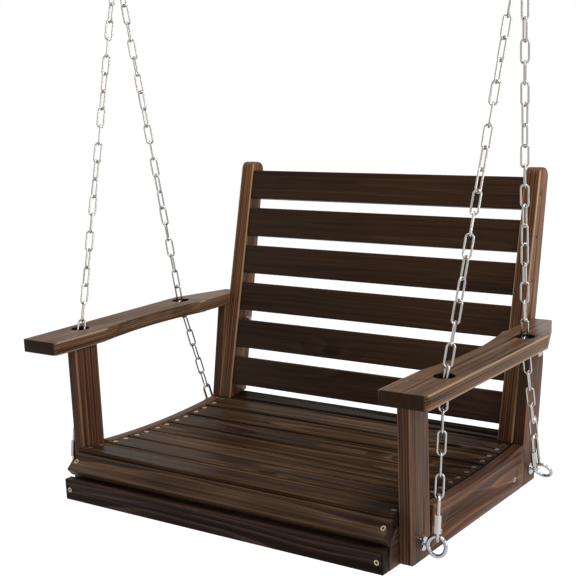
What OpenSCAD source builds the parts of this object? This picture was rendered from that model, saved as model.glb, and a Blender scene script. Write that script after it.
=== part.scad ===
// Porch swing seat: a slatted wooden seat with arms, hung by four chains from two ceiling eyes.
// X runs across the seat, Y from front to back, Z up. All sizes are in millimetres.

/* [Side frames] */
// Width over the outer faces of the two side frames
frame_w = 660; // [560:1:1200]
// Thickness of the post boards and side boards
frame_t = 20; // [16:1:28]
// Width of the post boards
post_w = 53; // [44:1:70]
// Height of the arms' underside above the foot of the side frames
arm_under = 248; // [200:1:320]
// Front edge of the rear post at its foot, from the front face of the front post
rear_post_y = 363.5; // [330:1:460]
// Backward lean of the rear posts in degrees
rear_post_lean = 10.2; // [6:0.1:14]
// How much is trimmed off the upper rear corner of the rear posts
rear_post_trim = 8; // [0:0.5:14]
// How far the seat rails end in front of the rear edge of the rear posts
rail_short = 3; // [0:0.5:10]

/* [Arms] */
// Thickness of the arms
arm_t = 21.5; // [16:0.5:30]
// Overhang of the arms past the outer face of the side frames
arm_over = 53.7; // [40:0.1:70]
// Overhang of the arms in front of the front posts
arm_front = 46.5; // [20:0.5:70]
// Overhang of the arms' inner edge past the inner face of the side frames
arm_in = 2; // [0:0.5:12]
// Length of the arms
arm_l = 500.5; // [460:0.5:640]
// Length of the tapered rear end of the arms
arm_taper_l = 108; // [60:1:120]
// How much the tapered rear end narrows
arm_taper_w = 39.7; // [10:0.1:42]
// Depth of the shallow waist in the arms' inner edge
arm_waist = 14; // [4:0.5:14]
// Length of the waist
arm_waist_l = 270; // [150:1:276]
// Middle of the waist, from the front face of the front post
arm_waist_y = 205; // [200:1:208]
// Radius of the rounded front corner of each arm, at its right side
arm_corner_r = 11; // [5:0.5:20]
// Radius of the other front corner of each arm
arm_corner_small = 3; // [2:0.5:5]
// Diameter of the chain holes in the arms
chain_hole_d = 32; // [23:0.5:34]
// Distance of the chain holes from the outer face of the side frames
chain_hole_out = 23.5; // [22:0.5:30]
// Front chain holes, from the front face of the front post
chain_hole_front = 58; // [40:1:80]
// Rear chain holes, from the front face of the front post
chain_hole_rear = 326; // [290:1:340]
// Diameter of the wooden plugs in the arms
plug_d = 13; // [10:0.5:16]
// Depth of the plug holes
plug_depth = 6; // [4:0.5:9]
// Plugs, from the front face of the front post
plug_y = 12; // [10:0.5:40]

/* [Seat] */
// Thickness of the seat slats
slat_t = 20; // [16:0.5:26]
// Width of the seat slats
slat_w = 50; // [40:0.5:60]
// Gap between the seat slats
slat_gap = 5; // [3:0.5:12]
// How far the first slat reaches in front of the posts
first_slat_lip = 12; // [4:0.5:16]
// Width of the last slat, under the back
last_slat_w = 37; // [25:0.5:45]
// Height of the lowest point of the seat above the foot of the side frames
dish_z = 64.5; // [58:0.5:90]
// Place of the lowest point of the seat, from the front face of the front post
dish_y = 215; // [150:1:280]
// Radius of the hollow of the seat
dish_r = 1700; // [1300:10:3000]
// Thickness of the seat rails
rail_t = 20; // [16:0.5:30]
// Thickness of the nosing slat
nosing_t = 18; // [14:0.5:22]
// Width of the nosing slat
nosing_w = 36; // [28:0.5:42]
// Slope of the nosing slat in degrees
nosing_slope = 39.8; // [35:0.1:45]
// Distance of the nosing's front edge in front of the posts
nosing_y = 41; // [38:0.5:46]
// Height of the nosing's front edge
nosing_z = 51; // [48:0.5:56]
// Height of the front apron
apron_h = 36.4; // [26:0.2:37]
// Thickness of the front apron
apron_t = 16.6; // [12:0.2:24]
// Distance of the apron's front face in front of the posts
apron_y = 47.6; // [44:0.2:54]
// Thickness of the cross rail behind the apron
stretcher_t = 20; // [16:0.5:26]
// Height of the cross rail behind the apron
stretcher_h = 33; // [20:0.5:34]
// Height of the cross rail's underside above the foot of the side frames
stretcher_z = 2; // [0:0.5:2]

/* [Back] */
// Backward lean of the back in degrees
back_lean = 14.14; // [8:0.1:18]
// Front face of the back at the reference height, from the front face of the front post
back_y = 378.3; // [372:0.5:400]
// Height at which that place is measured
back_ref_z = 100; // [90:1:110]
// Thickness of the two uprights of the back, across the seat
stile_t = 27; // [22:0.5:36]
// Depth of the uprights at their foot
stile_foot = 51; // [46:0.5:56]
// Depth of the uprights at their top
stile_top = 34; // [30:0.5:40]
// Length of the uprights above the reference height, along the lean
stile_l = 434; // [410:1:520]
// Radius of the rounded top of the uprights
stile_round = 14; // [5:0.5:14.5]
// Number of back slats
back_slats = 6; // [5:1:6]
// Width of the back slats
back_slat_w = 54; // [44:0.5:58]
// Thickness of the back slats
back_slat_t = 20; // [14:0.5:22]
// Gap between the back slats
back_slat_gap = 18.2; // [12:0.1:24]
// Distance from the top of the uprights to the top slat
back_slat_drop = 18; // [15:0.5:24]
// How far the back slats sit behind the front of the uprights
back_slat_set = 2.5; // [0:0.1:5]

/* [Screws and bolts] */
// Diameter of the wood screws
screw_d = 4; // [3.5:0.1:5]
// Diameter of the screw heads
screw_head_d = 8; // [7:0.1:9]
// Depth of the countersunk screw heads
screw_head_h = 2.4; // [2:0.1:3]
// Length of the wood screws
screw_l = 36; // [32:1:38]
// Distance of the seat screws from the ends of the slats
screw_end = 12; // [8:0.5:14]
// Distance between the two screws at each end of a seat slat
screw_pair = 25; // [12:0.5:30]
// Diameter of the carriage bolts and eye bolts
bolt_d = 6; // [5:0.5:7]
// Diameter of the domed bolt heads
bolt_head_d = 14; // [12:0.5:17]
// Height of the domed bolt heads
bolt_head_h = 4; // [3:0.1:5]
// Height of the upper bolts of the back below the arms' underside, along the lean
back_bolt_drop = 25; // [20:0.5:40]
// Lower bolts of the back above the reference height, along the lean
back_bolt_low = 14; // [5:0.5:30]
// How far the bolts reach past their nuts
bolt_end = 3; // [0.5:0.5:5]
// Length of the screws that hold the arms
arm_screw_l = 60; // [50:1:80]
// Width of the nuts over their flats
nut_w = 10; // [9:0.5:13]
// Thickness of the nuts
nut_h = 5; // [4:0.5:7]
// Diameter of the washers
washer_d = 21; // [16:0.5:22]
// Thickness of the washers
washer_t = 1.5; // [1:0.1:2]
// Diameter of the washers under the nuts
nut_washer_d = 14; // [13:0.5:15]

/* [Eye bolts and quick links] */
// Mean radius of the eyes
eye_r = 14.5; // [14:0.5:17]
// Wire diameter of the eyes
eye_wire = 6.25; // [4:0.25:6.5]
// Front eyes' centres, from the outer face of the side frames
eye_out_front = 24.5; // [22:0.5:30]
// Rear eyes' centres, from the outer face of the side frames
eye_out_rear = 22; // [21:0.5:26]
// Front eyes, from the front face of the front post
eye_front_y = 28; // [20:0.5:36]
// Height of the front eyes
eye_front_z = 26.5; // [22:0.5:34]
// Rear eyes, from the front face of the front post
eye_rear_y = 402; // [390:0.5:404]
// Height of the rear eyes
eye_rear_z = 24.5; // [20:0.5:30]
// Turn of the front eyes from upright, in degrees
eye_front_turn = -7; // [-10:1:10]
// Turn of the rear eyes from upright, in degrees
eye_rear_turn = 33; // [20:1:45]
// Place of the rear quick links on their eyes, in degrees from the top towards the seat
rear_hook_side = 30; // [0:1:32]
// Diameter of the collars of the front eyes
collar_d = 20; // [12:0.5:21]
// Length of the collars of the front eyes
collar_l = 3.5; // [2:0.5:4]
// Outer length of the quick links
quick_l = 71; // [70:0.5:80]
// Outer width of the quick links
quick_w = 22; // [20:0.5:26]
// Wire diameter of the quick links
quick_wire = 5; // [4:0.25:5.5]
// Length of the sleeve on a quick link
sleeve_l = 27; // [25:0.5:29]
// Width of the sleeve over its flats
sleeve_w = 9; // [8:0.25:10]
// Opening of a quick link under its sleeve
quick_gap = 9; // [7:0.5:10]
// Start of the opening above the lower bend of a quick link
quick_gap_rise = 7.5; // [5:0.5:8]
// Overlap of a closed sleeve below the opening
sleeve_lap = 3.5; // [2:0.5:4]
// Turn of the front quick links round their pull, in degrees
quick_front_turn = 118; // [80:1:120]
// Turn of the rear quick links round their pull, in degrees
quick_rear_turn = 88; // [76:1:92]

/* [Chains and ceiling eyes] */
// Wire diameter of the chain
chain_wire = 3.2; // [2.8:0.1:3.6]
// Inner length of a chain link
link_inner = 31.4; // [29:0.1:34]
// Outer width of a chain link
link_w = 14.6; // [13.6:0.1:16]
// Twist of each chain link past a quarter turn, before the ends are matched
chain_twist = 18; // [0:1:18]
// Twist of the lowest front link against its quick link, beyond a quarter turn, in degrees
front_low_twist = 4; // [-10:1:20]
// Twist of the lowest rear link against its quick link, beyond a quarter turn, in degrees
rear_low_twist = 18; // [-10:1:20]
// Turn of the first links of the front chains
front_link_turn = -17; // [-18:1:0]
// Turn of the first links of the rear chains
rear_link_turn = 18; // [0:1:18]
// Height of the chains' bend above the arms' underside
bend_rise = 14; // [8:0.5:16]
// Half the distance between the two rings over the seat
ring_x = 387; // [340:1:650]
// Rings, from the front face of the front post
ring_y = 247; // [200:1:290]
// Height of the rings' centres above the foot of the side frames
ring_z = 891; // [800:1:1400]
// Mean radius of the rings
ring_r = 20; // [18:0.5:30]
// Wire diameter of the rings
ring_wire = 6; // [5:0.25:8]
// Wire diameter of the ceiling eyes
staple_wire = 8; // [7:0.25:9]
// Inner width of the ceiling eyes
staple_w = 24; // [20:0.5:30]
// Distance from the ceiling to the middle of the wire on which a ring hangs
staple_drop = 26; // [25:0.5:50]
// Length of the ceiling plates
plate_l = 80; // [72:1:110]
// Width of the ceiling plates
plate_w = 50; // [42:1:60]
// Thickness of the ceiling plates
plate_t = 4; // [3:0.25:6]
// Distance between the two screw holes of a ceiling plate
plate_hole_pitch = 56; // [50:1:60]
// Diameter of the screw holes in the ceiling plates
plate_hole_d = 6.5; // [5:0.25:8]

/* [Hidden] */
$fn = 48;

// Clearances: round pieces in their holes, pieces side by side, and metal hooked in metal
fit = 0.1;
seam = 0.3;
hook_play = 0.3;
ring_play = 0.7;
side_play = 2;
bend_play = 0.6;
// Rounding of the long edges of the boards, and the facets of large curves
edge_r = 2.5;
fine = 360;
over = 1;

// Places across the seat
out_x = frame_w / 2;
in_x = out_x - frame_t;
rail_in = in_x - rail_t;
rail_mid = in_x - rail_t / 2;
stile_in = in_x - stile_t;
chain_x = out_x + chain_hole_out;
arm_out = out_x + arm_over;
arm_back = arm_l - arm_front;
arm_top = arm_under + arm_t;
board_under = dish_r + slat_t;

// Eyes and rings, the pivot of the rings and the ceiling
eyes = [[out_x + eye_out_front, eye_front_y, eye_front_z],
    [out_x + eye_out_rear, eye_rear_y, eye_rear_z]];
eye_turns = [eye_front_turn, eye_rear_turn];
ring_at = [ring_x, ring_y, ring_z];
pivot_z = ring_z + ring_r - ring_wire / 2 - staple_wire / 2 - hook_play;
ceiling_z = pivot_z + staple_drop;

// Links of the chain and of the quick links
link_pitch = link_inner - hook_play;
link_end_r = (link_w - chain_wire) / 2;
link_half = (link_inner + chain_wire) / 2;
quick_end_r = (quick_w - quick_wire) / 2;
quick_half = (quick_l - quick_wire) / 2;
quick_straight = quick_half - quick_end_r;
quick_gap_z = quick_gap_rise - quick_straight;
quick_turn = [quick_front_turn, quick_rear_turn];
hook_side = [0, rear_hook_side];

function unit(v) = v / norm(v);
// Point where a quick link pulls on its eye, and the way it pulls, through the arm's chain hole
holes = [[chain_x, chain_hole_front, arm_under + bend_rise],
    [chain_x, chain_hole_rear, arm_under + bend_rise]];
function eye_up(i) = [0, -sin(eye_turns[i]), cos(eye_turns[i])];
function hook_at(i) = eyes[i] + eye_r * (cos(hook_side[i]) * eye_up(i) - [sin(hook_side[i]), 0, 0]);
function pull(i) = unit(holes[i] - hook_at(i));
// The eye's wire runs this way at the hook; it fills more of the quick link when it slants
function wire_way(i) = sin(hook_side[i]) * eye_up(i) + [cos(hook_side[i]), 0, 0];
function slant(i) = norm(cross(wire_way(i), pull(i)));
// Distances along that pull: middle of the quick link, middle of the lowest chain link
function quick_off(i) = quick_half - (eye_wire + quick_wire) / 2 / slant(i) - hook_play
    - side_play * sin(hook_side[i]);
function last_off(i) = quick_off(i) + quick_half - (quick_wire + chain_wire) / 2 - hook_play + link_half;
function last_link(i) = hook_at(i) + pull(i) * last_off(i);
// Whole links of the lower chain; the chain bends where they end in the arm's hole
function lower_links(i) = round((norm(holes[i] - hook_at(i)) - last_off(i)) / link_pitch + 0.5);
function bend(i) = last_link(i) + pull(i) * (lower_links(i) - 0.5) * link_pitch;
// Point where the upper chain pulls on its ring; first link, number and spacing of its links
function hang_at(i) = ring_at + ring_r * unit([0, bend(i)[1] - ring_y, bend(i)[2] - ring_z]);
function leg(i) = unit(bend(i) - hang_at(i));
first_off = link_half - (ring_wire + chain_wire) / 2 - ring_play;
function first_link(i) = hang_at(i) + leg(i) * first_off;
function upper_span(i) = norm(bend(i) - first_link(i)) + bend_play;
function upper_links(i) = ceil(upper_span(i) / link_pitch + 0.5);
function upper_pitch(i) = (upper_span(i) - link_pitch / 2) / (upper_links(i) - 1);
// Turns round the upright: lower links stand a quarter turn apart; upper links twist a little more
// or less than that, so that the first one suits its ring and the last one the lower chain
link_turn = [front_link_turn, rear_link_turn];
twist = [chain_twist, -chain_twist];
low_twist = [front_low_twist, rear_low_twist];
function low_turn(i) = quick_turn[i] - 90 + low_twist[i];
function top_turn(i) = low_turn(i) + 90 * lower_links(i) + twist[i];
function half_turn(a) = a - 180 * round(a / 180);
function turn_step(i) = 90 + twist[i]
    + half_turn(top_turn(i) - link_turn[i] - (upper_links(i) - 1) * (90 + twist[i])) / (upper_links(i) - 1);

// Place of a point of the back: t runs up the lean from the reference height, d runs rearwards
function back_at(t, d) = [back_y + t * sin(back_lean) + d * cos(back_lean),
    back_ref_z + t * cos(back_lean) - d * sin(back_lean)];
function stile_depth(t) = stile_foot + (stile_top - stile_foot) * t / stile_l;
function slat_top_t(k) = stile_l - back_slat_drop - k * (back_slat_w + back_slat_gap);
function slat_mid_t(k) = slat_top_t(k) - back_slat_w / 2;
back_slat_mid = back_slat_set + back_slat_t / 2;

// Seat slats: front edge and width of slat k, counted from the front
seat_slats = 8;
function seat_slat_y(k) = k == 0 ? -first_slat_lip : k * (slat_w + slat_gap);
function seat_slat_w(k) = k == 0 ? slat_w + first_slat_lip : k == seat_slats - 1 ? last_slat_w : slat_w;
function seat_slat_mid(k) = seat_slat_y(k) + seat_slat_w(k) / 2;
function seat_lift(w) = w * w / (8 * board_under) + 0.05;
function screw_half(k) = min(screw_pair, seat_slat_w(k) / 2) / 2;

// Bolts through rear post and back: along the lean and rearwards
back_bolt_t = [(arm_under - back_bolt_drop - back_ref_z) / cos(back_lean), back_bolt_low];
back_bolt_d = [30, 36];
// Screws through the side boards and rear posts, from the front and from the foot
side_screw_y = [86, 340];
side_screw_z = 23;
post_screw_t = 41;
post_screw_d = 25;

module in_place() {
    translate([0, -ring_y, -ceiling_z]) children();
}

module on_side(side) {
    in_place() mirror([side < 0 ? 1 : 0, 0, 0]) children();
}

// A board's cross-section with rounded edges, from one corner
module board_section(w, t) {
    union() {
        translate([edge_r, 0]) square([w - 2 * edge_r, t]);
        translate([0, edge_r]) square([w, t - 2 * edge_r]);
        for (x = [edge_r, w - edge_r], y = [edge_r, t - edge_r]) {
            translate([x, y]) circle(r = edge_r);
        }
    }
}

// A board that runs across the seat, centred on it; its section runs along Y and Z
module cross_board(l, w, t) {
    translate([-l / 2, 0, 0]) rotate([90, 0, 90]) linear_extrude(l) board_section(w, t);
}

// A flat shape in the YZ plane, from x0 to x1
module side_shape(x0, x1) {
    translate([x0, 0, 0]) rotate([90, 0, 90]) linear_extrude(x1 - x0) children();
}

// Puts Z = 0 on the hollow of the seat at y
module on_dish(y) {
    translate([0, dish_y, dish_z + dish_r]) rotate([asin((y - dish_y) / dish_r), 0, 0])
        translate([0, 0, -dish_r]) children();
}

// Room for everything above the hollow, d below its surface
module above_dish(d) {
    translate([-frame_w, dish_y, dish_z + dish_r]) rotate([0, 90, 0])
        cylinder(r = dish_r + d, h = 2 * frame_w, $fn = fine);
}

// A countersunk wood screw along -Z from its head; clear widens it into its hole
module screw(l = screw_l, clear = 0) {
    union() {
        translate([0, 0, -screw_head_h])
            cylinder(d1 = screw_d + 2 * clear, d2 = screw_head_d + 2 * clear, h = screw_head_h);
        translate([0, 0, -l]) cylinder(d = screw_d + 2 * clear, h = l - screw_head_h);
        if (clear > 0) {
            cylinder(d = screw_head_d + 2 * clear, h = over);
        }
    }
}

// The visible recess of a screw head
module drive() {
    difference() {
        children();
        translate([0, 0, -screw_head_h * 0.7]) linear_extrude(screw_head_h) {
            square([screw_head_d * 0.6, 1], center = true);
            square([1, screw_head_d * 0.6], center = true);
        }
    }
}

module seat_screw_places(k) {
    for (s = [-1, 1], e = [-1, 1]) {
        on_dish(seat_slat_mid(k)) translate([s * (in_x - screw_end), e * screw_half(k),
            seat_lift(seat_slat_w(k))]) children();
    }
}

module front_screw_places() {
    for (s = [-1, 1]) {
        translate([s * rail_mid, -nosing_y, nosing_z]) rotate([nosing_slope, 0, 0])
            translate([0, nosing_w / 2, 0]) children();
        translate([s * rail_mid, -apron_y, apron_h / 2]) rotate([90, 0, 0]) children();
    }
}

// Puts Z outwards along X at a place of the back
module on_stile(x, t, d) {
    translate([x, back_at(t, d)[0], back_at(t, d)[1]]) rotate([0, 90, 0]) children();
}

module side_screw_places() {
    for (y = side_screw_y) {
        translate([out_x, y, side_screw_z]) rotate([0, 90, 0]) children();
    }
    on_stile(out_x, post_screw_t, post_screw_d) children();
}

module back_screw_places() {
    for (k = [0:back_slats - 1]) {
        on_stile(in_x, slat_mid_t(k), back_slat_mid) children();
    }
}

module back_bolt_places() {
    for (i = [0, 1]) {
        on_stile(out_x, back_bolt_t[i], back_bolt_d[i]) children();
    }
}

module eye_places() {
    for (i = [0, 1]) {
        translate([out_x, eyes[i][1], eyes[i][2]]) rotate([0, 90, 0]) children();
    }
}

module bore(d) {
    translate([0, 0, -frame_w / 2]) cylinder(d = d + 2 * fit, h = frame_w);
}

// Holes in the side pieces for the bolts, eye bolts and screws
module side_holes() {
    back_bolt_places() bore(bolt_d);
    eye_places() bore(bolt_d);
    side_screw_places() screw(screw_l, fit);
}

module rear_post_shape(x0, x1, y0, y1) {
    side_shape(x0, x1) polygon([[y0, 0], [y1, 0], [y1 + arm_under * tan(rear_post_lean), arm_under],
        [y0 + arm_under * tan(rear_post_lean), arm_under]]);
}

rear_post_d = post_w / cos(rear_post_lean);
rear_post_back = rear_post_y + rear_post_d + arm_under * tan(rear_post_lean);

module front_post(side) {
    color([0.36, 0.22, 0.16]) on_side(side) difference() {
        translate([in_x, 0, 0]) cube([frame_t, post_w, arm_under]);
        eye_places() bore(bolt_d);
        translate([(in_x + out_x) / 2, plug_y, arm_top - plug_depth]) screw(arm_screw_l, fit);
    }
}

module rear_post(side) {
    color([0.36, 0.22, 0.16]) on_side(side) difference() {
        rear_post_shape(in_x, out_x, rear_post_y, rear_post_y + rear_post_d);
        translate([0, rear_post_back - rear_post_trim, 0]) cube([frame_w, frame_w, frame_w]);
        side_holes();
    }
}

module side_board(side) {
    color([0.34, 0.21, 0.15]) on_side(side) difference() {
        rear_post_shape(in_x, out_x, post_w + seam, rear_post_y - seam);
        translate([0, 0, -over]) cube([frame_w, post_w + seam, frame_w]);
        above_dish(0);
        side_holes();
    }
}

module nosing_block(clear) {
    translate([0, -nosing_y, nosing_z]) rotate([nosing_slope, 0, 0]) translate([0, 0, -nosing_t - clear])
        children();
}

module seat_rail(side) {
    rail_back = rear_post_y + rear_post_d - rail_short;
    color([0.3, 0.19, 0.13]) on_side(side) difference() {
        rear_post_shape(rail_in, in_x, -apron_y + apron_t, rail_back);
        translate([0, -frame_w - apron_y + apron_t, -over]) cube([frame_w, frame_w, frame_w]);
        above_dish(slat_t);
        nosing_block(0) translate([0, -frame_w / 2, 0]) cube([frame_w, frame_w, frame_w / 2]);
        side_holes();
        front_screw_places() screw(screw_l, fit);
        for (k = [0:seat_slats - 1]) {
            seat_screw_places(k) screw(screw_l, fit);
        }
    }
}

module cross_rail() {
    color([0.28, 0.18, 0.12]) in_place() difference() {
        translate([0, -apron_y + apron_t, stretcher_z]) cross_board(2 * rail_in, stretcher_t, stretcher_h);
        nosing_block(0) translate([-frame_w, -frame_w / 2, 0]) cube([2 * frame_w, frame_w, frame_w / 2]);
    }
}

module slat_block(k, clear = 0) {
    w = seat_slat_w(k);
    on_dish(seat_slat_mid(k)) translate([0, -w / 2, seat_lift(w) - slat_t]) {
        if (clear > 0) {
            translate([-frame_w, -clear, -clear]) cube([2 * frame_w, w + 2 * clear, 2 * slat_t]);
        } else {
            cross_board(2 * (in_x - seam), w, slat_t);
        }
    }
}

module seat_slat(k) {
    color([0.38, 0.32, 0.27]) in_place() difference() {
        slat_block(k);
        seat_screw_places(k) screw(screw_l, fit);
    }
}

module nosing_slat() {
    color([0.33, 0.27, 0.23]) in_place() difference() {
        nosing_block(-seam) cross_board(2 * (in_x - seam), nosing_w, nosing_t - seam);
        slat_block(0, 2);
        front_screw_places() screw(screw_l, fit);
    }
}

module apron() {
    color([0.22, 0.16, 0.13]) in_place() difference() {
        translate([0, -apron_y, 0]) cross_board(2 * (in_x - seam), apron_t, apron_h);
        front_screw_places() screw(screw_l, fit);
    }
}

module back_stile(side) {
    foot_t = -stile_foot;
    r = stile_round;
    color([0.34, 0.22, 0.15]) on_side(side) difference() {
        translate([stile_in, back_y, back_ref_z]) rotate([-back_lean, 0, 0]) rotate([90, 0, 90])
            linear_extrude(stile_t) union() {
                polygon([[0, foot_t], [0, stile_l - r], [r, stile_l], [stile_top - r, stile_l],
                    [stile_top, stile_l - r], [stile_depth(foot_t), foot_t]]);
                translate([r, stile_l - r]) circle(r = r);
                translate([stile_top - r, stile_l - r]) circle(r = r);
            }
        on_dish(back_y + stile_foot / 3) translate([0, -frame_w / 2, 2 * seam - frame_w])
            cube([frame_w, frame_w, frame_w]);
        side_holes();
        back_screw_places() screw(screw_l, fit);
    }
}

module back_slat(k) {
    color([0.24, 0.16, 0.12]) in_place() difference() {
        translate([0, back_y, back_ref_z]) rotate([-back_lean, 0, 0])
            translate([0, back_slat_set, slat_top_t(k) - back_slat_w])
            cross_board(2 * (stile_in - seam), back_slat_t, back_slat_w);
        for (s = [0, 1]) {
            mirror([s, 0, 0]) back_screw_places() screw(screw_l, fit);
        }
    }
}

// Outline of an arm from above; both arms have the same corner rounded, at their right
module arm_outline(side) {
    r_out = side > 0 ? arm_corner_r : arm_corner_small;
    r_in = side > 0 ? arm_corner_small : arm_corner_r;
    front = -arm_front;
    inner = in_x - arm_in;
    waist_r = (arm_waist_l * arm_waist_l / 4 + arm_waist * arm_waist) / (2 * arm_waist);
    difference() {
        union() {
            polygon([[inner + r_in, front], [arm_out - r_out, front], [arm_out, front + r_out],
                [arm_out, arm_back - arm_taper_l], [arm_out - arm_taper_w, arm_back],
                [in_x + seam, arm_back], [in_x + seam, arm_back - arm_taper_l],
                [inner, arm_back - arm_taper_l], [inner, front + r_in]]);
            translate([inner + r_in, front + r_in]) circle(r = r_in);
            translate([arm_out - r_out, front + r_out]) circle(r = r_out);
        }
        translate([inner + arm_waist - waist_r, arm_waist_y]) circle(r = waist_r, $fn = fine);
    }
}

module arm(side) {
    color([0.4, 0.31, 0.26]) on_side(side) difference() {
        translate([0, 0, arm_under]) linear_extrude(arm_t) arm_outline(side);
        for (y = [chain_hole_front, chain_hole_rear]) {
            translate([chain_x, y, arm_under - over]) cylinder(d = chain_hole_d, h = arm_t + 2 * over);
        }
        translate([(in_x + out_x) / 2, plug_y, arm_top - plug_depth]) {
            cylinder(d = plug_d + 2 * fit, h = plug_depth + over);
            screw(arm_screw_l, fit);
        }
    }
}

module both_sides() {
    in_place() for (s = [0, 1]) {
        mirror([s, 0, 0]) children();
    }
}

module arm_plugs() {
    color([0.3, 0.22, 0.18]) both_sides()
        translate([(in_x + out_x) / 2, plug_y, arm_top - plug_depth + fit])
            cylinder(d = plug_d, h = plug_depth - fit);
}

module arm_screws() {
    color("silver") both_sides() translate([(in_x + out_x) / 2, plug_y, arm_top - plug_depth])
        drive() screw(arm_screw_l);
}

module seat_screws() {
    color("silver") in_place() for (k = [0:seat_slats - 1]) {
        seat_screw_places(k) drive() screw();
    }
}

module front_screws() {
    color("silver") in_place() front_screw_places() drive() screw();
}

module side_screws() {
    color("silver") both_sides() side_screw_places() drive() screw();
}

module back_screws() {
    color("silver") both_sides() back_screw_places() drive() screw();
}

// A hexagonal nut round Z, standing on Z = 0, or below it
module nut(h) {
    difference() {
        cylinder(d = nut_w / cos(30), h = h, $fn = 6);
        translate([0, 0, -over]) cylinder(d = bolt_d + 2 * fit, h = h + 2 * over);
    }
}

module washer(d) {
    difference() {
        cylinder(d = d, h = washer_t);
        translate([0, 0, -over]) cylinder(d = bolt_d + 2 * fit, h = washer_t + 2 * over);
    }
}

// Depth of the inner ends of the bolts, from the outer face of the side frames
back_bolt_l = frame_t + stile_t + washer_t + nut_h + bolt_end;
eye_bolt_l = frame_t + rail_t + washer_t + nut_h + bolt_end;

module back_bolts() {
    dome_r = (bolt_head_d * bolt_head_d / 4 + bolt_head_h * bolt_head_h) / (2 * bolt_head_h);
    color("silver") both_sides() back_bolt_places() union() {
        translate([0, 0, -back_bolt_l]) cylinder(d = bolt_d, h = back_bolt_l);
        intersection() {
            translate([0, 0, bolt_head_h - dome_r]) sphere(r = dome_r);
            cylinder(d = bolt_head_d + over, h = bolt_head_h + over);
        }
    }
}

module back_nuts() {
    color("silver") both_sides() back_bolt_places() translate([0, 0, -frame_t - stile_t - washer_t]) {
        washer(nut_washer_d);
        translate([0, 0, -nut_h]) nut(nut_h);
    }
}

module eye_bolts() {
    color("silver") both_sides() for (i = [0, 1]) {
        reach = eyes[i][0] - out_x - eye_r;
        translate(eyes[i]) rotate([eye_turns[i], 0, 0]) rotate([90, 0, 0])
            rotate_extrude() translate([eye_r, 0]) circle(d = eye_wire);
        translate([out_x, eyes[i][1], eyes[i][2]]) rotate([0, 90, 0])
            translate([0, 0, -eye_bolt_l]) cylinder(d = bolt_d, h = eye_bolt_l + reach);
        if (i == 0) {
            translate([out_x + washer_t + fit, eyes[i][1], eyes[i][2]]) rotate([0, 90, 0])
                cylinder(d = collar_d, h = collar_l);
        }
    }
}

module eye_washers() {
    color("silver") both_sides() eye_places() {
        washer(washer_d);
        translate([0, 0, -frame_t - rail_t - washer_t]) washer(nut_washer_d);
    }
}

module eye_nuts() {
    color("silver") both_sides() eye_places() translate([0, 0, -frame_t - rail_t - washer_t - nut_h])
        nut(nut_h);
}

// Turns Z to the direction v, with X left at the given angle round the upright
module along(v, turn) {
    lean = acos(unit(v)[2]);
    way = atan2(v[1], v[0]);
    rotate([0, 0, way]) rotate([0, lean, 0]) rotate([0, 0, turn - way]) children();
}

// A long round link along Z, with round ends
module oval(wire, end_r, straight) {
    union() {
        for (s = [0, 1]) {
            mirror([0, 0, s]) translate([0, 0, straight / 2]) rotate([90, 0, 0])
                rotate_extrude(angle = 180) translate([end_r, 0]) circle(d = wire, $fn = 24);
        }
        for (x = [-end_r, end_r]) {
            translate([x, 0, -straight / 2]) cylinder(d = wire, h = straight, $fn = 24);
        }
    }
}

module link() {
    oval(chain_wire, link_end_r, link_inner + 2 * chain_wire - link_w);
}

// A row of n links from a by step; up is the way up the chain, turn and more are their turns
module chain(n, a, step, up, turn, more) {
    for (k = [0:n - 1]) {
        translate(a + step * k) along(up, turn + more * k) link();
    }
}

module upper_chain(side, i) {
    color("silver") on_side(side)
        chain(upper_links(i), first_link(i), leg(i) * upper_pitch(i), -leg(i), link_turn[i], turn_step(i));
}

module lower_chain(side, i) {
    color("silver") on_side(side)
        chain(lower_links(i), last_link(i), pull(i) * link_pitch, pull(i), low_turn(i), 90);
}

// Puts Z along the pull of quick link i, with its sleeve's bar on the side of -X
module on_quick(i) {
    translate(hook_at(i) + pull(i) * quick_off(i)) along(pull(i), quick_turn[i]) children();
}

module quick_link(i) {
    on_quick(i) difference() {
        oval(quick_wire, quick_end_r, 2 * quick_straight);
        translate([-quick_end_r - quick_wire, -quick_wire, quick_gap_z])
            cube([2 * quick_wire, 2 * quick_wire, quick_gap]);
    }
}

module quick_links() {
    color("silver") both_sides() for (i = [0, 1]) {
        quick_link(i);
    }
}

module sleeve(side, i) {
    color("silver") on_side(side) on_quick(i) translate([-quick_end_r, 0, quick_gap_z - sleeve_lap])
        difference() {
            cylinder(d = sleeve_w / cos(30), h = sleeve_l, $fn = 6);
            translate([0, 0, -over]) cylinder(d = quick_wire + 2 * fit, h = sleeve_l + 2 * over);
        }
}

module hang_ring(side) {
    color("silver") on_side(side) translate(ring_at) rotate([0, 90, 0])
        rotate_extrude() translate([ring_r, 0]) circle(d = ring_wire);
}

module ceiling_eye(side) {
    bend_r = (staple_w + staple_wire) / 2;
    color("silver") on_side(side) translate([ring_x, ring_y, pivot_z]) union() {
        translate([0, 0, bend_r]) rotate([90, 0, 0]) mirror([0, 1, 0])
            rotate_extrude(angle = 180) translate([bend_r, 0]) circle(d = staple_wire);
        for (x = [-bend_r, bend_r]) {
            translate([x, 0, bend_r]) cylinder(d = staple_wire, h = staple_drop - bend_r - plate_t / 2);
        }
        difference() {
            translate([-plate_w / 2, -plate_l / 2, staple_drop - plate_t])
                cube([plate_w, plate_l, plate_t]);
            for (y = [-plate_hole_pitch / 2, plate_hole_pitch / 2]) {
                translate([0, y, staple_drop - plate_t - over])
                    cylinder(d = plate_hole_d, h = plate_t + 2 * over);
            }
        }
    }
}

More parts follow.
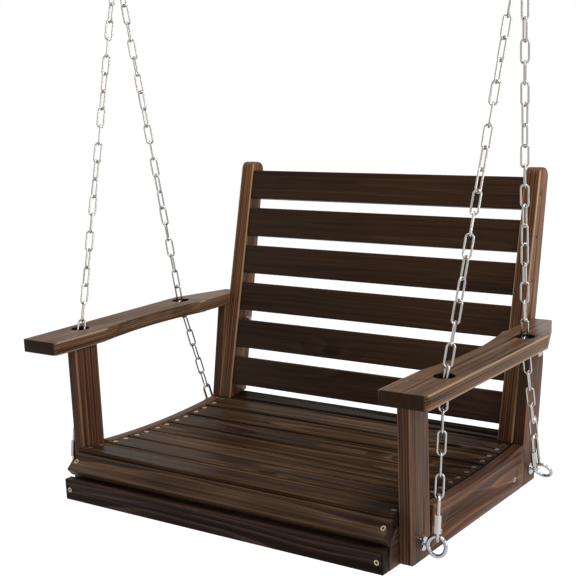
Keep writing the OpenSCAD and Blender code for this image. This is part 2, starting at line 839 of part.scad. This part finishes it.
side_board(-1);  // side_board_left
side_board(1);  // side_board_right
front_post(-1);  // front_post_left
front_post(1);  // front_post_right
rear_post(-1);  // rear_post_left
rear_post(1);  // rear_post_right
seat_rail(-1);  // seat_rail_left
seat_rail(1);  // seat_rail_right
cross_rail();
seat_slat(0);  // seat_slat_1
seat_slat(1);  // seat_slat_2
seat_slat(2);  // seat_slat_3
seat_slat(3);  // seat_slat_4
seat_slat(4);  // seat_slat_5
seat_slat(5);  // seat_slat_6
seat_slat(6);  // seat_slat_7
seat_slat(7);  // seat_slat_8
nosing_slat();
apron();
back_stile(-1);  // back_stile_left
back_stile(1);  // back_stile_right
back_slat(0);  // back_slat_1
back_slat(1);  // back_slat_2
back_slat(2);  // back_slat_3
back_slat(3);  // back_slat_4
back_slat(4);  // back_slat_5
back_slat(5);  // back_slat_6
arm(-1);  // arm_left
arm(1);  // arm_right
arm_plugs();
arm_screws();
seat_screws();
front_screws();
side_screws();
back_screws();
back_bolts();
back_nuts();
eye_bolts();
eye_washers();
eye_nuts();
quick_links();
sleeve(-1, 0);  // sleeve_front_left
sleeve(1, 0);  // sleeve_front_right
sleeve(-1, 1);  // sleeve_rear_left
sleeve(1, 1);  // sleeve_rear_right
lower_chain(-1, 0);  // lower_chain_front_left
lower_chain(1, 0);  // lower_chain_front_right
lower_chain(-1, 1);  // lower_chain_rear_left
lower_chain(1, 1);  // lower_chain_rear_right
upper_chain(-1, 0);  // upper_chain_front_left
upper_chain(1, 0);  // upper_chain_front_right
upper_chain(-1, 1);  // upper_chain_rear_left
upper_chain(1, 1);  // upper_chain_rear_right
hang_ring(-1);  // ring_left
hang_ring(1);  // ring_right
ceiling_eye(-1);  // ceiling_eye_left
ceiling_eye(1);  // ceiling_eye_right
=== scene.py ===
import itertools
import math
import bpy
import bmesh
from mathutils import Matrix, Vector


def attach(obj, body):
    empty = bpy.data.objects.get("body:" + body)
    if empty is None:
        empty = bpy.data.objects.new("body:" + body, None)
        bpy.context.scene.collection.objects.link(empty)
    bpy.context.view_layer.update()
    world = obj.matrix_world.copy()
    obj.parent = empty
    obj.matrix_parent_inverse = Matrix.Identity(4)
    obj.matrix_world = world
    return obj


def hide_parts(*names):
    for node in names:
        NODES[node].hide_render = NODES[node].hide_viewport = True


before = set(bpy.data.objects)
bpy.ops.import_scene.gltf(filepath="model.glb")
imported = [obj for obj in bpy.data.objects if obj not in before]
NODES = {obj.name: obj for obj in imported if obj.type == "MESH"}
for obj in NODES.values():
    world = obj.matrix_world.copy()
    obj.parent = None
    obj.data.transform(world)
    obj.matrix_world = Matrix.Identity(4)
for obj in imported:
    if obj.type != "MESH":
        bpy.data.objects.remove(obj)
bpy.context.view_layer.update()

scene = bpy.context.scene

# ---------------------------------------------------------------- camera, floor, light
# The seat hangs above a plain pale floor, seen from its front right and a little above.
# Seat-frame millimetres (right, back, up from the foot of the side frames) become metres
# below the ceiling with place().


IMAGE = 576.0             # the frame's width and height, in pixels
FOCAL = 1205.04           # the lens's focal length, in those pixels
CENTRE = (291.20, 325.77)  # where the lens looks straight ahead, in those pixels
SENSOR = 36.0
EYE = (1127.92, -1386.73, 708.55)
TURNS = (35.571, -12.446, -2.305)   # yaw, pitch and roll, in degrees
HANG_Y = 247.0            # how far the ceiling plates lie behind the front of the side frames
HANG_Z = 929.7            # how far they lie above the side frames' foot


def place(x, y, z):
    return Vector((x, y - HANG_Y, z - HANG_Z)) / 1000.0


def mat3(cols):
    return Matrix(cols).transposed()


yaw, pitch, roll = (math.radians(a) for a in TURNS)
ahead = Vector((-math.sin(yaw) * math.cos(pitch), math.cos(yaw) * math.cos(pitch),
                math.sin(pitch)))
right = Vector((math.cos(yaw), math.sin(yaw), 0.0))
above = right.cross(ahead)
cam_x = math.cos(roll) * right + math.sin(roll) * above
cam_y = math.cos(roll) * above - math.sin(roll) * right
cam_data = bpy.data.cameras.new("camera")
cam = bpy.data.objects.new("camera", cam_data)
scene.collection.objects.link(cam)
cam.matrix_world = (Matrix.Translation(place(*EYE))
                    @ mat3((cam_x, cam_y, -ahead)).to_4x4())
cam_data.sensor_width = SENSOR
cam_data.lens = FOCAL * SENSOR / IMAGE
cam_data.shift_x = (IMAGE / 2 - CENTRE[0]) / IMAGE
cam_data.shift_y = (CENTRE[1] - IMAGE / 2) / IMAGE
cam_data.clip_start = 0.05
cam_data.clip_end = 60.0
scene.camera = cam
scene.view_settings.view_transform = 'Standard'


class Maths:
    """A socket of a shader's node tree, with Python's operators."""

    def __init__(self, tree, socket):
        self.tree = tree
        self.socket = socket

    def node(self, kind, out=0, settings=None, **inputs):
        made = self.tree.nodes.new(kind)
        for key, value in (settings or {}).items():
            setattr(made, key, value)
        for key, value in inputs.items():
            by_number = key[0] == "i" and key[1:].isdigit()
            name = int(key[1:]) if by_number else key.replace("_", " ")
            target = made.inputs[name]
            if isinstance(value, Maths):
                self.tree.links.new(value.socket, target)
            else:
                target.default_value = value
        return Maths(self.tree, made.outputs[out])

    def math(self, operation, a, b=0.0):
        return self.node("ShaderNodeMath", settings={"operation": operation}, i0=a, i1=b)

    def __add__(self, other):
        return self.math("ADD", self, other)

    def __radd__(self, other):
        return self.math("ADD", other, self)

    def __sub__(self, other):
        return self.math("SUBTRACT", self, other)

    def __rsub__(self, other):
        return self.math("SUBTRACT", other, self)

    def __mul__(self, other):
        return self.math("MULTIPLY", self, other)

    def __rmul__(self, other):
        return self.math("MULTIPLY", other, self)

    def __truediv__(self, other):
        return self.math("DIVIDE", self, other)

    def __pow__(self, other):
        return self.math("POWER", self, other)

    def xyz(self):
        made = self.tree.nodes.new("ShaderNodeSeparateXYZ")
        self.tree.links.new(self.socket, made.inputs[0])
        return [Maths(self.tree, s) for s in made.outputs]

    def vector(self, x, y, z):
        return self.node("ShaderNodeCombineXYZ", i0=x, i1=y, i2=z)

    def noise(self, vector, scale, detail=2.0, roughness=0.5):
        return self.node("ShaderNodeTexNoise", i0=vector, Scale=scale, Detail=detail,
                         Roughness=roughness)

    def smooth(self, low, high):
        return self.node("ShaderNodeMapRange", settings={"interpolation_type": "SMOOTHSTEP"},
                         Value=self, From_Min=low, From_Max=high)

    def mix(self, a, b):
        """Colour a where this is 0, colour b where it is 1."""
        made = self.tree.nodes.new("ShaderNodeMix")
        made.data_type = 'RGBA'
        for socket, value in ((made.inputs[0], self), (made.inputs[6], a), (made.inputs[7], b)):
            if isinstance(value, Maths):
                self.tree.links.new(value.socket, socket)
            else:
                socket.default_value = value
        return Maths(self.tree, made.outputs[2])


def linear(r, g, b):
    """A colour as seen on screen, from 0 to 255, as the shader's colour."""
    def one(v):
        v = v / 255.0
        return v / 12.92 if v <= 0.04045 else ((v + 0.055) / 1.055) ** 2.4
    return (one(r), one(g), one(b), 1.0)


def new_material(name):
    mat = bpy.data.materials.new(name)
    mat.use_nodes = True
    shader = mat.node_tree.nodes["Principled BSDF"]
    return mat, shader, Maths(mat.node_tree, None)


def plug(maths, value, socket):
    if isinstance(value, Maths):
        maths.tree.links.new(value.socket, socket)
    else:
        socket.default_value = value


# A large even floor, a wide soft sun from high above, and three soft lights round the seat.
FLOOR_SIZE = 30.0
FLOOR_DROP = 450      # the floor lies this far under the side frames
WORLD_LIGHT = 0.22    # what the white surroundings give as light
bpy.ops.mesh.primitive_plane_add(size=FLOOR_SIZE, location=(0.0, 0.0, place(0, 0, -FLOOR_DROP)[2]))
floor = bpy.context.object
floor.name = "floor"
floor_mat, floor_shader, _ = new_material("floor")
floor_shader.inputs["Base Color"].default_value = (0.93, 0.93, 0.93, 1.0)
floor_shader.inputs["Roughness"].default_value = 0.9
floor_shader.inputs["Specular IOR Level"].default_value = 0.1
floor.data.materials.append(floor_mat)

world = bpy.data.worlds.new("studio")
scene.world = world
world.use_nodes = True
wm = Maths(world.node_tree, None)
back_node = world.node_tree.nodes["Background"]
camera_ray = wm.node("ShaderNodeLightPath", out="Is Camera Ray")
glossy_ray = wm.node("ShaderNodeLightPath", out="Is Glossy Ray")
back_node.inputs["Color"].default_value = (1.0, 1.0, 1.0, 1.0)
seen = wm.math("MAXIMUM", camera_ray, glossy_ray)
plug(wm, WORLD_LIGHT + (1.0 - WORLD_LIGHT) * seen, back_node.inputs["Strength"])


def area_light(name, where, target, size, power):
    data = bpy.data.lights.new(name, 'AREA')
    data.shape = 'RECTANGLE'
    data.size, data.size_y = size
    data.energy = power
    lamp = bpy.data.objects.new(name, data)
    scene.collection.objects.link(lamp)
    lamp.location = where
    lamp.rotation_euler = (Vector(target) - Vector(where)).to_track_quat('-Z', 'Y').to_euler()


sun_data = bpy.data.lights.new("sun", 'SUN')
sun_data.energy = 2.9
sun_data.angle = math.radians(24)
sun = bpy.data.objects.new("sun", sun_data)
scene.collection.objects.link(sun)
sun.rotation_euler = Vector((0.34, 0.0, 0.93)).to_track_quat('Z', 'Y').to_euler()

seat_middle = place(0, 200, 120)
area_light("key_light", (-0.4, -3.0, 0.6), seat_middle, (1.6, 1.6), 3.0)
area_light("side_light", (3.4, 0.5, 0.4), seat_middle, (1.0, 2.0), 66.0)
area_light("back_light", (-0.9, 3.0, 0.3), seat_middle, (2.4, 1.2), 8.0)


# ---------------------------------------------------------------- boards
# The seat is made of planed softwood boards, stained dark brown and sealed, with eased edges.
# Each board is copied from its solid, its long edges are rounded with a small bevel, and it
# carries the direction of its grain, so one stain material serves each group of boards.

EASED = 0.0012          # bevel of a slat's edges, in metres
FRAME_EASED = 0.003     # of the posts
BROAD_EASED = 0.0022    # of the arms and uprights
SEED_STEP = 7.31        # sets each board's grain apart from the next one's
WELD = 1e-6
board_number = itertools.count(1)


def select_only(obj):
    bpy.ops.object.select_all(action='DESELECT')
    obj.select_set(True)
    bpy.context.view_layer.objects.active = obj


def copy_of(name, ending):
    """A copy of a node with its own mesh, free of the node's parent and keys."""
    piece = NODES[name].copy()
    piece.data = NODES[name].data.copy()
    piece.name = name + ending
    for key in list(piece.keys()):
        del piece[key]
    piece.parent = None
    scene.collection.objects.link(piece)
    return piece


def loose_parts(bm):
    """The vertices of each part of a welded mesh that hangs together."""
    bmesh.ops.remove_doubles(bm, verts=bm.verts, dist=WELD)
    parts = []
    left = set(bm.verts)
    while left:
        start = left.pop()
        island, todo = [start], [start]
        while todo:
            for edge in todo.pop().link_edges:
                for v in edge.verts:
                    if v in left:
                        left.remove(v)
                        island.append(v)
                        todo.append(v)
        parts.append(island)
    return parts


def loose_boxes(*names):
    """Corners of the boxes round the loose parts of these nodes, such as screws and bolts."""
    boxes = []
    for name in names:
        bm = bmesh.new()
        bm.from_mesh(NODES[name].data)
        for island in loose_parts(bm):
            lo = Vector([min(v.co[i] for v in island) for i in range(3)])
            hi = Vector([max(v.co[i] for v in island) for i in range(3)])
            boxes.append((lo, hi))
        bm.free()
    return boxes


FIXINGS = loose_boxes("arm_screws", "seat_screws", "front_screws", "side_screws", "back_screws",
                      "back_bolts", "arm_plugs")
BOLTS = loose_boxes("eye_nuts", "eye_washers", "back_nuts")
HOLE_PLAY = 0.0004      # a screw's hole is this much wider than the screw, at most
BOLT_HOLE_R = 0.0045
BOLT_REACH = 0.06       # a bolt's hole lies this near its nut, along the bolt


def near_fixing(point):
    """Whether a point lies on the edge of a screw's or bolt's hole, which stays sharp."""
    for lo, hi in FIXINGS:
        if all(lo[i] - HOLE_PLAY <= point[i] <= hi[i] + HOLE_PLAY for i in range(3)):
            return True
    for lo, hi in BOLTS:
        mid = (lo + hi) / 2
        beside = max(abs(point[1] - mid[1]), abs(point[2] - mid[2]))
        if beside < BOLT_HOLE_R and abs(abs(point[0]) - abs(mid[0])) < BOLT_REACH:
            return True
    return False


def board(name, along, across, bevel):
    """Copies a board's solid, rounds its edges and writes the grain's coordinates into it."""
    piece = copy_of(name, "_board")
    select_only(piece)
    bpy.ops.object.mode_set(mode='EDIT')
    bpy.ops.mesh.select_all(action='SELECT')
    bpy.ops.mesh.remove_doubles(threshold=WELD)
    bpy.ops.mesh.dissolve_limited(angle_limit=math.radians(0.3))
    bpy.ops.mesh.select_all(action='DESELECT')
    bpy.ops.mesh.select_mode(type='EDGE')
    bpy.ops.mesh.edges_select_sharp(sharpness=math.radians(35))
    bpy.ops.object.mode_set(mode='OBJECT')
    mesh = piece.data
    for edge in mesh.edges:
        if edge.select:
            ends = [mesh.vertices[i].co for i in edge.vertices]
            if near_fixing((ends[0] + ends[1]) / 2):
                edge.select = False
    bpy.ops.object.mode_set(mode='EDIT')
    if bevel > 0:
        bpy.ops.mesh.bevel(offset=bevel, offset_type='OFFSET', segments=3, profile=0.5,
                           affect='EDGES', clamp_overlap=True)
    bpy.ops.mesh.select_all(action='SELECT')
    bpy.ops.mesh.normals_make_consistent(inside=False)
    bpy.ops.object.mode_set(mode='OBJECT')
    bpy.ops.object.shade_smooth_by_angle(angle=math.radians(32))
    along, across = Vector(along).normalized(), Vector(across).normalized()
    through = along.cross(across)
    spans = []
    for axis in (along, across, through):
        places = [v.co.dot(axis) for v in mesh.vertices]
        spans.append((min(places), max(places)))
    half_l, half_w, half_t = ((hi - lo) / 2 for lo, hi in spans)
    seed = next(board_number) * SEED_STEP
    # a new attribute makes the earlier ones stale in Python, so they are all made first
    for made, kind in (("grain", 'FLOAT_VECTOR'), ("form", 'FLOAT_VECTOR'),
                       ("half_length", 'FLOAT')):
        mesh.attributes.new(made, kind, 'POINT')
    grain, form, reach = (mesh.attributes[made] for made in ("grain", "form", "half_length"))
    for i, v in enumerate(mesh.vertices):
        grain.data[i].vector = [v.co.dot(axis) - (lo + hi) / 2
                                for axis, (lo, hi) in zip((along, across, through), spans)]
        form.data[i].vector = (seed, half_w, half_t)
        reach.data[i].value = half_l
    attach(piece, "seat")
    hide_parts(name)
    return piece


RINGS_PER_METRE = 260.0
WARM_SHINE = (1.0, 0.86, 0.74, 1.0)


def wood(name, dark, mid, light, sheen=0.42, gloss=0.2, figure=0.45, edge=0.35, wear_and_highlight_colour=None,
         rim=0.0):
    """Stained softwood. The grain is a log's rings cut by the board, with fine fibre streaks,
    a few knots, and eased edges paled by wear and a painted highlight. figure is how far the
    rings show, edge how far the edges are paled, and rim the radius of a plug with a dark line
    round it."""
    mat, shader, m = new_material(name)
    grain = m.node("ShaderNodeAttribute", out=1, settings={"attribute_name": "grain"})
    form = m.node("ShaderNodeAttribute", out=1, settings={"attribute_name": "form"})
    along, across, through = grain.xyz()
    seed, half_w, half_t = form.xyz()
    # slow wander of the log along the board
    drift = m.noise(m.vector(along * 1.6 + seed, across * 5.0, through * 5.0), 1.0, 2.0)
    drift2 = m.noise(m.vector(along * 5.0 + seed * 3.1, across * 22.0, seed), 1.0, 2.0)
    # knots: cells of a stretched pattern, most of them left out
    cell_at = m.vector(along * 4.2 + seed * 1.7, across * 13.0 + seed, seed * 0.37)
    cell = m.node("ShaderNodeTexVoronoi", out=0, settings={"voronoi_dimensions": "2D"}, i0=cell_at,
                  Scale=1.0, Randomness=0.9)
    tint = m.node("ShaderNodeTexVoronoi", out=1, settings={"voronoi_dimensions": "2D"}, i0=cell_at,
                  Scale=1.0, Randomness=0.9)
    chosen = tint.xyz()[0].smooth(0.80, 0.82)
    swell = (1.0 - cell.smooth(0.0, 0.42)) * chosen
    knot = (1.0 - cell.smooth(0.05, 0.11)) * chosen
    # distance from the log's middle, which lies under the board and to one side
    off_w = (m.noise(m.vector(seed, 0.5, 0.5), 1.0) - 0.5) * 0.22
    off_t = 0.035 + m.noise(m.vector(seed, 3.5, 0.5), 1.0) * 0.05
    dx = across - off_w
    dz = through + off_t
    radius = ((dx * dx + dz * dz) ** 0.5 + (drift - 0.5) * 0.018 + (drift2 - 0.5) * 0.002
              + swell * 0.006)
    ring = m.math("FRACT", radius * RINGS_PER_METRE)
    late = ring.smooth(0.35, 0.92) * (1.0 - ring.smooth(0.93, 1.0))
    fibre_at = m.vector(along * 6.0 + seed, across * 420.0 + swell * 3.0, through * 420.0)
    fibre = m.noise(fibre_at, 1.0, 3.0, 0.6)
    streaks = m.noise(m.vector(along * 2.6 + seed, across * 150.0, through * 150.0), 1.0, 3.0, 0.65)
    cloud = m.noise(m.vector(along * 3.0, across * 9.0 + seed, through * 9.0), 1.0, 2.0)
    tone = (0.38 + 1.1 * (streaks - 0.5) + figure * (late - 0.3) + 0.9 * (fibre - 0.5)
            + 0.6 * (cloud - 0.5))
    tone = m.math("MAXIMUM", m.math("MINIMUM", tone, 1.0), 0.0)
    colour = tone.smooth(0.0, 0.5).mix(dark, mid)
    colour = tone.smooth(0.45, 1.0).mix(colour, light)
    colour = (knot * 0.85).mix(colour, [c * 0.35 for c in dark[:3]] + [1.0])
    # end grain takes more stain; the eased edges are paled by wear and by a painted highlight
    half_l = m.node("ShaderNodeAttribute", out=2, settings={"attribute_name": "half_length"})
    end = m.math("ABSOLUTE", along).smooth(half_l - 0.0028, half_l - 0.0008)
    colour = (end * 0.92).mix(colour, [c * 0.8 for c in dark[:3]] + [1.0])
    near_w = m.math("ABSOLUTE", across).smooth(half_w - 0.0034, half_w - 0.0006)
    near_t = m.math("ABSOLUTE", through).smooth(half_t - 0.0034, half_t - 0.0006)
    # paler edges: partly wear, partly a painted highlight where the edge catches light
    wear_and_highlight = near_w * near_t * (0.5 + 0.9 * (fibre + cloud - 0.9)) * edge
    colour = m.math("MAXIMUM", m.math("MINIMUM", wear_and_highlight, 1.0), 0.0).mix(colour, wear_and_highlight_colour or light)
    if rim:
        # the dark line round a plug
        round_it = ((along * along + across * across) ** 0.5 / rim).smooth(0.72, 0.9)
        colour = (round_it * 0.95).mix(colour, dark)
    plug(m, colour, shader.inputs["Base Color"])
    rough = sheen + 0.16 * (fibre - 0.5) + 0.10 * late + 0.1 * (cloud - 0.5)
    plug(m, rough, shader.inputs["Roughness"])
    shader.inputs["Specular IOR Level"].default_value = gloss
    shader.inputs["Specular Tint"].default_value = WARM_SHINE
    bump = m.node("ShaderNodeBump", Height=fibre * 0.5 + late * 0.7 + streaks * 0.4, Strength=0.22,
                  Distance=0.0006)
    plug(m, bump, shader.inputs["Normal"])
    return mat


def finish_board(piece, material):
    piece.data.materials.clear()
    piece.data.materials.append(material)
    for poly in piece.data.polygons:
        poly.material_index = 0


# ---------------------------------------------------------------- side frames
# Two flat frames of the same board stand at the sides: a front post, a leaning rear post and a
# side board between them. The seat rails are screwed inside them, and a cross rail joins the rails.

side_mat = wood("side_stain", linear(38, 22, 13), linear(75, 49, 34), linear(112, 80, 61),
                gloss=0.1, wear_and_highlight_colour=linear(146, 108, 84), edge=0.7)
rail_mat = wood("rail_stain", linear(26, 15, 8), linear(44, 27, 17), linear(66, 44, 30))
LEAN = math.radians(10.2)    # of the rear posts
post_way = (0, math.sin(LEAN), math.cos(LEAN))
for side in ("left", "right"):
    finish_board(board("front_post_" + side, (0, 0, 1), (0, 1, 0), FRAME_EASED), side_mat)
    finish_board(board("rear_post_" + side, post_way, (0, math.cos(LEAN), -math.sin(LEAN)),
                       FRAME_EASED), side_mat)
    finish_board(board("side_board_" + side, (0, 1, 0), (0, 0, 1), 0.0024), side_mat)
    finish_board(board("seat_rail_" + side, (0, 1, 0), (0, 0, 1), 0.0018), rail_mat)
finish_board(board("cross_rail", (1, 0, 0), (0, 0, 1), EASED), rail_mat)

# ---------------------------------------------------------------- seat
# Eight slats lie on the hollow-topped rails, screwed at both ends. A sloping nosing slat and an
# apron close the front.

seat_mat = wood("seat_stain", linear(30, 19, 12), linear(58, 42, 30), linear(98, 74, 55),
                sheen=0.35, gloss=0.008, figure=0.4, edge=0.6)
nosing_mat = wood("nosing_stain", linear(30, 19, 12), linear(60, 43, 31), linear(104, 79, 60),
                  gloss=0.1, figure=0.5, edge=0.6)
# the apron's stain is set darker than the nosing's: real stain with painted shade for its front
# face
apron_mat = wood("apron_stain_painted_shade", linear(18, 11, 8), linear(38, 25, 20), linear(66, 47, 38),
                 gloss=0.05, figure=0.7, edge=0.6)
for k in range(8):
    finish_board(board("seat_slat_%d" % (k + 1), (1, 0, 0), (0, 1, 0), EASED), seat_mat)
SLOPE = math.radians(39.8)   # of the nosing
finish_board(board("nosing_slat", (1, 0, 0), (0, math.cos(SLOPE), math.sin(SLOPE)), EASED),
             nosing_mat)
finish_board(board("apron", (1, 0, 0), (0, 0, 1), EASED), apron_mat)

# ---------------------------------------------------------------- back
# Two uprights, tapering towards their rounded tops, are bolted and screwed inside the rear posts.
# Six slats are let in between them and screwed through the uprights.

stile_mat = wood("stile_stain", linear(50, 27, 13), linear(102, 67, 42), linear(146, 108, 78),
                 gloss=0.15, wear_and_highlight_colour=linear(186, 150, 116), edge=1.0)
back_mat = wood("back_stain", linear(32, 19, 11), linear(51, 34, 22), linear(70, 48, 33),
                gloss=0.09, figure=0.25)
TILT = math.radians(14.14)   # of the back
up_back = (0, math.sin(TILT), math.cos(TILT))
rearward = (0, math.cos(TILT), -math.sin(TILT))
for side in ("left", "right"):
    finish_board(board("back_stile_" + side, up_back, rearward, BROAD_EASED), stile_mat)
for k in range(6):
    finish_board(board("back_slat_%d" % (k + 1), (1, 0, 0), up_back, EASED), back_mat)

# ---------------------------------------------------------------- arms
# Broad arms lie on the posts. Each has two chain holes, one rounded front corner, a shallow waist
# and a tapered rear end; a round wooden plug hides the screw into the front post.

CHAIN_HOLE_X = 353.5         # from the middle of the seat
CHAIN_HOLE_YS = (58, 326)
CHAIN_HOLE_REACH = 0.0185    # everything nearer to a hole's middle is the hole's wall
PLUG_R = 0.0065
arm_mat = wood("arm_stain", linear(42, 27, 17), linear(90, 66, 47), linear(128, 101, 77),
               sheen=0.38, gloss=0.06, wear_and_highlight_colour=linear(190, 160, 136), figure=0.35, edge=0.75)
# painted shade: the walls of the chain holes are coloured near black
hole_shade_mat = wood("hole_wall_painted_shade", linear(12, 8, 6), linear(24, 16, 11), linear(40, 28, 20),
                gloss=0.05, edge=0.0)
hole_spots = [place(side * CHAIN_HOLE_X, y, 0) for side in (-1, 1) for y in CHAIN_HOLE_YS]
for side in ("left", "right"):
    arm = board("arm_" + side, (0, 1, 0), (1, 0, 0), BROAD_EASED)
    finish_board(arm, arm_mat)
    # the walls round each chain hole get the painted-shade material
    arm.data.materials.append(hole_shade_mat)
    for poly in arm.data.polygons:
        corners = [arm.data.vertices[i].co for i in poly.vertices]
        upright = abs(poly.normal[2]) < 0.6
        if upright and any(all((c - spot).xy.length < CHAIN_HOLE_REACH for c in corners)
                           for spot in hole_spots):
            poly.material_index = 1
plug_mat = wood("plug_stain", linear(34, 22, 14), linear(84, 62, 45), linear(118, 92, 70),
                gloss=0.15, rim=PLUG_R)
plugs = board("arm_plugs", (1, 0, 0), (0, 1, 0), 0.0)
finish_board(plugs, plug_mat)
for v, g in zip(plugs.data.vertices, plugs.data.attributes["grain"].data):
    own = [w.co for w in plugs.data.vertices if w.co[0] * v.co[0] > 0]
    middle = sum(own, Vector()) / len(own)
    g.vector = (v.co[0] - middle[0], v.co[1] - middle[1], v.co[2] - middle[2])

# ---------------------------------------------------------------- screws, bolts, chains
# All metal is zinc-plated steel: countersunk screws, domed bolts, eye bolts, quick links, chain,
# rings and ceiling eyes. The screws through the uprights are dark; the screw recesses get painted
# shade.


def zinc(name, colour, rough, speckle):
    mat, shader, m = new_material(name)
    where = m.node("ShaderNodeTexCoord", out=3)
    spots = m.noise(where, 900.0, 2.0, 0.6)
    cloud = m.noise(where, 70.0, 2.0)
    tone = cloud.mix([c * 0.82 for c in colour[:3]] + [1.0], colour)
    plug(m, tone, shader.inputs["Base Color"])
    shader.inputs["Metallic"].default_value = 1.0
    plug(m, rough + speckle * (spots - 0.5) + 0.08 * (cloud - 0.5), shader.inputs["Roughness"])
    bump = m.node("ShaderNodeBump", Height=spots, Strength=0.12, Distance=0.0002)
    plug(m, bump, shader.inputs["Normal"])
    return mat


chain_mat = zinc("bright_zinc", (0.42, 0.395, 0.37, 1.0), 0.14, 0.16)
eye_mat = zinc("polished_zinc", (0.40, 0.41, 0.43, 1.0), 0.08, 0.08)
screw_mat = zinc("screw_zinc", (0.50, 0.43, 0.33, 1.0), 0.36, 0.2)
# dark zinc: the real dark coat of the screws through the uprights, and painted shade in the screw
# recesses
dark_coat_and_recess_shade_mat = zinc("dark_zinc_and_recess_shade", (0.10, 0.07, 0.05, 1.0), 0.5, 0.2)


FLAT = 2e-5              # how uneven a head's flat top may be
RECESS_SHARE = 0.62      # a recess's radius is less than this share of its head's
RECESS_DEPTH = 0.0025


def paint_recess_shade(piece, ways):
    """Paints shade into the recess in each screw's head; ways are the heads' directions."""
    bm = bmesh.new()
    bm.from_mesh(piece.data)
    for island in loose_parts(bm):
        best = []
        for way in ways:
            top = max(v.co.dot(way) for v in island)
            flat = [v for v in island if v.co.dot(way) > top - FLAT]
            if len(flat) > len(best):
                best, axis = flat, way
        middle = sum((v.co for v in best), Vector()) / len(best)
        rim = max((v.co - middle).length for v in best)
        for face in {f for v in island for f in v.link_faces}:
            offsets = [v.co - middle for v in face.verts]
            reach = max((o - axis * o.dot(axis)).length for o in offsets)
            depth = max(-o.dot(axis) for o in offsets)
            # painted shade: faces inside a head's recess take the dark material
            if reach < RECESS_SHARE * rim and depth < RECESS_DEPTH:
                face.material_index = 1
    bm.to_mesh(piece.data)
    bm.free()


def screws(name, *ways):
    """Copies a node of screws, so that the recesses of their heads can carry painted shade."""
    piece = copy_of(name, "_finished")
    piece.data.materials.clear()
    piece.data.materials.append(screw_mat)
    piece.data.materials.append(dark_coat_and_recess_shade_mat)
    for poly in piece.data.polygons:
        poly.material_index = 0
    paint_recess_shade(piece, [Vector(way).normalized() for way in ways])
    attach(piece, "seat")
    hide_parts(name)


screws("seat_screws", (0, 0, 1))
screws("front_screws", (0, -1, 0), (0, -math.sin(SLOPE), math.cos(SLOPE)))
screws("side_screws", (1, 0, 0), (-1, 0, 0))
BRIGHT = ("chain", "ring_", "ceiling_eye", "quick", "sleeve", "back_bolts", "back_nuts")
for name, node in NODES.items():
    kind = None
    if name == "back_screws":
        kind = dark_coat_and_recess_shade_mat
    elif name.endswith("screws"):
        kind = screw_mat
    elif name.startswith("eye_"):
        kind = eye_mat
    elif any(word in name for word in BRIGHT):
        kind = chain_mat
    if kind:
        node.data.materials.clear()
        node.data.materials.append(kind)

bpy.context.view_layer.update()
